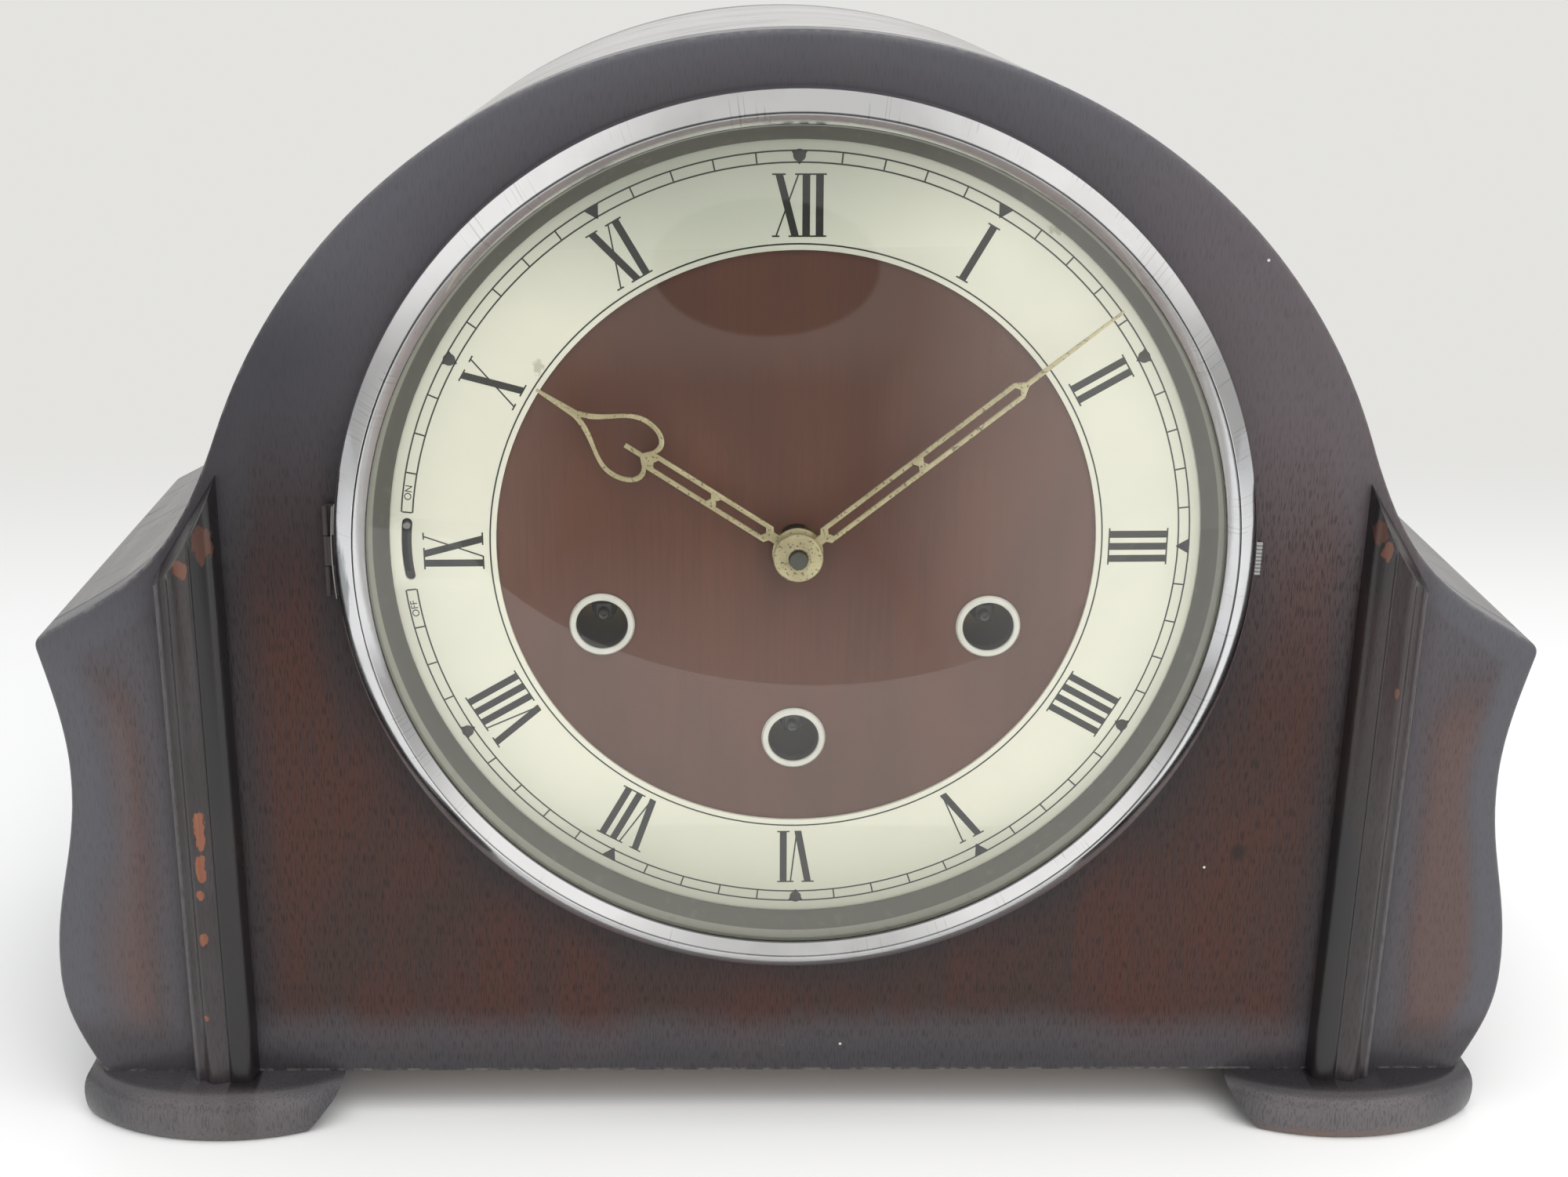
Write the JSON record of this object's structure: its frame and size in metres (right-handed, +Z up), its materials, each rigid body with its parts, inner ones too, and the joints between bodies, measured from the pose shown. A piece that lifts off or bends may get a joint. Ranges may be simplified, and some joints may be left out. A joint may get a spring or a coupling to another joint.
{
  "type": "mantel clock",
  "caption": "Arched mahogany mantel clock: tapered case, reeded pilasters, hinged domed-glass bezel, round Roman dial, key-wound chiming movement, gong rods and hinged back door.",
  "frame": {"origin": "centre of the bounding box's underside, on the surface that the feet stand on", "axes": "+X to the right as seen by someone reading the dial, +Y from the dial towards the back door, +Z up"},
  "size_m": [0.3098, 0.1422, 0.2326],
  "materials": {
    "mahogany": "polished mahogany veneer, aged",
    "dark_wood": "stained hardwood, nearly black",
    "raw_wood": "unfinished softwood",
    "chrome": "polished plate",
    "glass": "clear, domed",
    "silvered": "silvered and lacquered, aged cream",
    "dial_brown": "printed wood-grain lacquer",
    "gilt": "dulled gilding",
    "brass": "lacquered",
    "steel": "oiled",
    "iron": "blackened"
  },
  "bodies": {
    "case": {"front_panel": "mahogany", "case_wrap": "mahogany", "base_board": "raw_wood", "back_frame": "dark_wood", "foot_left": "dark_wood", "foot_right": "dark_wood", "pilaster_left": "dark_wood", "pilaster_right": "dark_wood", "door_hinge_upper_fixed": "brass", "door_hinge_lower_fixed": "brass", "bezel_seat": "brass", "dial_plate": "dial_brown", "chapter_ring": "silvered", "winding_bush_left": "chrome", "winding_bush_right": "chrome", "winding_bush_centre": "chrome", "front_plate": "brass", "back_plate": "brass", "pillar_1": "brass", "pillar_2": "brass", "pillar_3": "brass", "pillar_4": "brass", "movement_bracket_left": "steel", "movement_bracket_right": "steel", "gong_block": "iron", "gong_rod_1": "steel", "gong_rod_2": "steel", "gong_rod_3": "steel", "gong_rod_4": "steel", "pendulum_cock": "brass"},
    "door": {"back_door": "mahogany", "door_hinge_upper_moving": "brass", "door_hinge_lower_moving": "brass", "door_knob": "brass"},
    "bezel": {"bezel": "chrome", "bezel_glass": "glass", "sight_ring": "chrome", "bezel_hinge": "chrome"},
    "minute_hand": {"minute_hand": "gilt", "hand_collet": "gilt", "centre_arbor": "brass", "cannon_pinion": "steel"},
    "hour_hand": {"hour_hand": "gilt", "hour_wheel": "brass"},
    "minute_wheel": {"minute_wheel": "brass"},
    "intermediate_wheel": {"intermediate_wheel": "brass"},
    "time_barrel": {"time_barrel": "brass"},
    "strike_barrel": {"strike_barrel": "brass"},
    "chime_barrel": {"chime_barrel": "brass"},
    "winding_arbor_time": {"winding_arbor_time": "steel"},
    "winding_arbor_strike": {"winding_arbor_strike": "steel"},
    "winding_arbor_chime": {"winding_arbor_chime": "steel"},
    "chime_lever": {"chime_lever": "steel"},
    "hammer_1": {"hammer_1": "brass"},
    "hammer_2": {"hammer_2": "brass"},
    "hammer_3": {"hammer_3": "brass"},
    "hammer_4": {"hammer_4": "brass"},
    "escape_wheel": {"escape_wheel": "brass"},
    "anchor": {"anchor": "steel"},
    "pendulum": {"pendulum": "brass"}
  },
  "joints": [
    {"name": "bezel_swing", "type": "hinge", "parent": "case", "child": "bezel", "pos_m": [-0.093, -0.06107, 0.1306], "axis": [0, 0, -1], "range_deg": [0, 110]},
    {"name": "door_swing", "type": "hinge", "parent": "case", "child": "door", "pos_m": [0.0906, 0.06113, 0.0926], "axis": [0, 0, -1], "range_deg": [0, 110]},
    {"name": "minute_hand_turn", "type": "hinge", "parent": "case", "child": "minute_hand", "pos_m": [0, -0.05917, 0.1306], "axis": [0, 1, 0], "continuous": true},
    {"name": "hour_hand_turn", "type": "hinge", "parent": "case", "child": "hour_hand", "pos_m": [0, -0.05917, 0.1306], "axis": [0, 1, 0], "continuous": true},
    {"name": "minute_wheel_turn", "type": "hinge", "parent": "case", "child": "minute_wheel", "pos_m": [0.006, -0.04817, 0.14099], "axis": [0, 1, 0], "continuous": true},
    {"name": "intermediate_wheel_turn", "type": "hinge", "parent": "case", "child": "intermediate_wheel", "pos_m": [0.011, -0.02917, 0.11201], "axis": [0, 1, 0], "continuous": true},
    {"name": "time_barrel_turn", "type": "hinge", "parent": "case", "child": "time_barrel", "pos_m": [0, -0.01917, 0.0892], "axis": [0, 1, 0], "continuous": true},
    {"name": "strike_barrel_turn", "type": "hinge", "parent": "case", "child": "strike_barrel", "pos_m": [-0.0392, -0.02317, 0.114], "axis": [0, 1, 0], "continuous": true},
    {"name": "chime_barrel_turn", "type": "hinge", "parent": "case", "child": "chime_barrel", "pos_m": [0.0392, -0.02317, 0.114], "axis": [0, 1, 0], "continuous": true},
    {"name": "time_winding", "type": "hinge", "parent": "case", "child": "winding_arbor_time", "pos_m": [0, -0.05117, 0.0892], "axis": [0, 1, 0], "continuous": true},
    {"name": "strike_winding", "type": "hinge", "parent": "case", "child": "winding_arbor_strike", "pos_m": [-0.0392, -0.05117, 0.114], "axis": [0, 1, 0], "continuous": true},
    {"name": "chime_winding", "type": "hinge", "parent": "case", "child": "winding_arbor_chime", "pos_m": [0.0392, -0.05117, 0.114], "axis": [0, 1, 0], "continuous": true},
    {"name": "chime_lever_throw", "type": "hinge", "parent": "case", "child": "chime_lever", "pos_m": [-0.04, -0.05242, 0.1306], "axis": [0, -1, 0], "range_deg": [0, 13.7]},
    {"name": "hammer_1_lift", "type": "hinge", "parent": "case", "child": "hammer_1", "pos_m": [-0.018, 0.00883, 0.0686], "axis": [0, -1, 0], "range_deg": [0, 20]},
    {"name": "hammer_2_lift", "type": "hinge", "parent": "case", "child": "hammer_2", "pos_m": [-0.018, 0.01683, 0.0686], "axis": [0, -1, 0], "range_deg": [0, 20]},
    {"name": "hammer_3_lift", "type": "hinge", "parent": "case", "child": "hammer_3", "pos_m": [-0.018, 0.02483, 0.0686], "axis": [0, -1, 0], "range_deg": [0, 20]},
    {"name": "hammer_4_lift", "type": "hinge", "parent": "case", "child": "hammer_4", "pos_m": [-0.018, 0.03283, 0.0686], "axis": [0, -1, 0], "range_deg": [0, 20]},
    {"name": "escape_wheel_turn", "type": "hinge", "parent": "case", "child": "escape_wheel", "pos_m": [0, -0.01257, 0.1546], "axis": [0, 1, 0], "continuous": true},
    {"name": "pendulum_swing", "type": "hinge", "parent": "case", "child": "pendulum", "pos_m": [0, 0.00883, 0.1856], "axis": [0, 1, 0], "range_deg": [-3, 3]},
    {"name": "anchor_rock", "type": "hinge", "parent": "case", "child": "anchor", "pos_m": [0, -0.01257, 0.1726], "axis": [0, 1, 0], "range_deg": [-4.8, 4.8]}
  ],
  "couplings": [
    {"joint": "hour_hand_turn", "follows": "minute_hand_turn", "ratio": 0.083333},
    {"joint": "minute_wheel_turn", "follows": "minute_hand_turn", "ratio": -0.33333},
    {"joint": "intermediate_wheel_turn", "follows": "minute_hand_turn", "ratio": -0.2},
    {"joint": "time_barrel_turn", "follows": "minute_hand_turn", "ratio": 0.055556},
    {"joint": "anchor_rock", "follows": "pendulum_swing", "ratio": 1.5909}
  ]
}
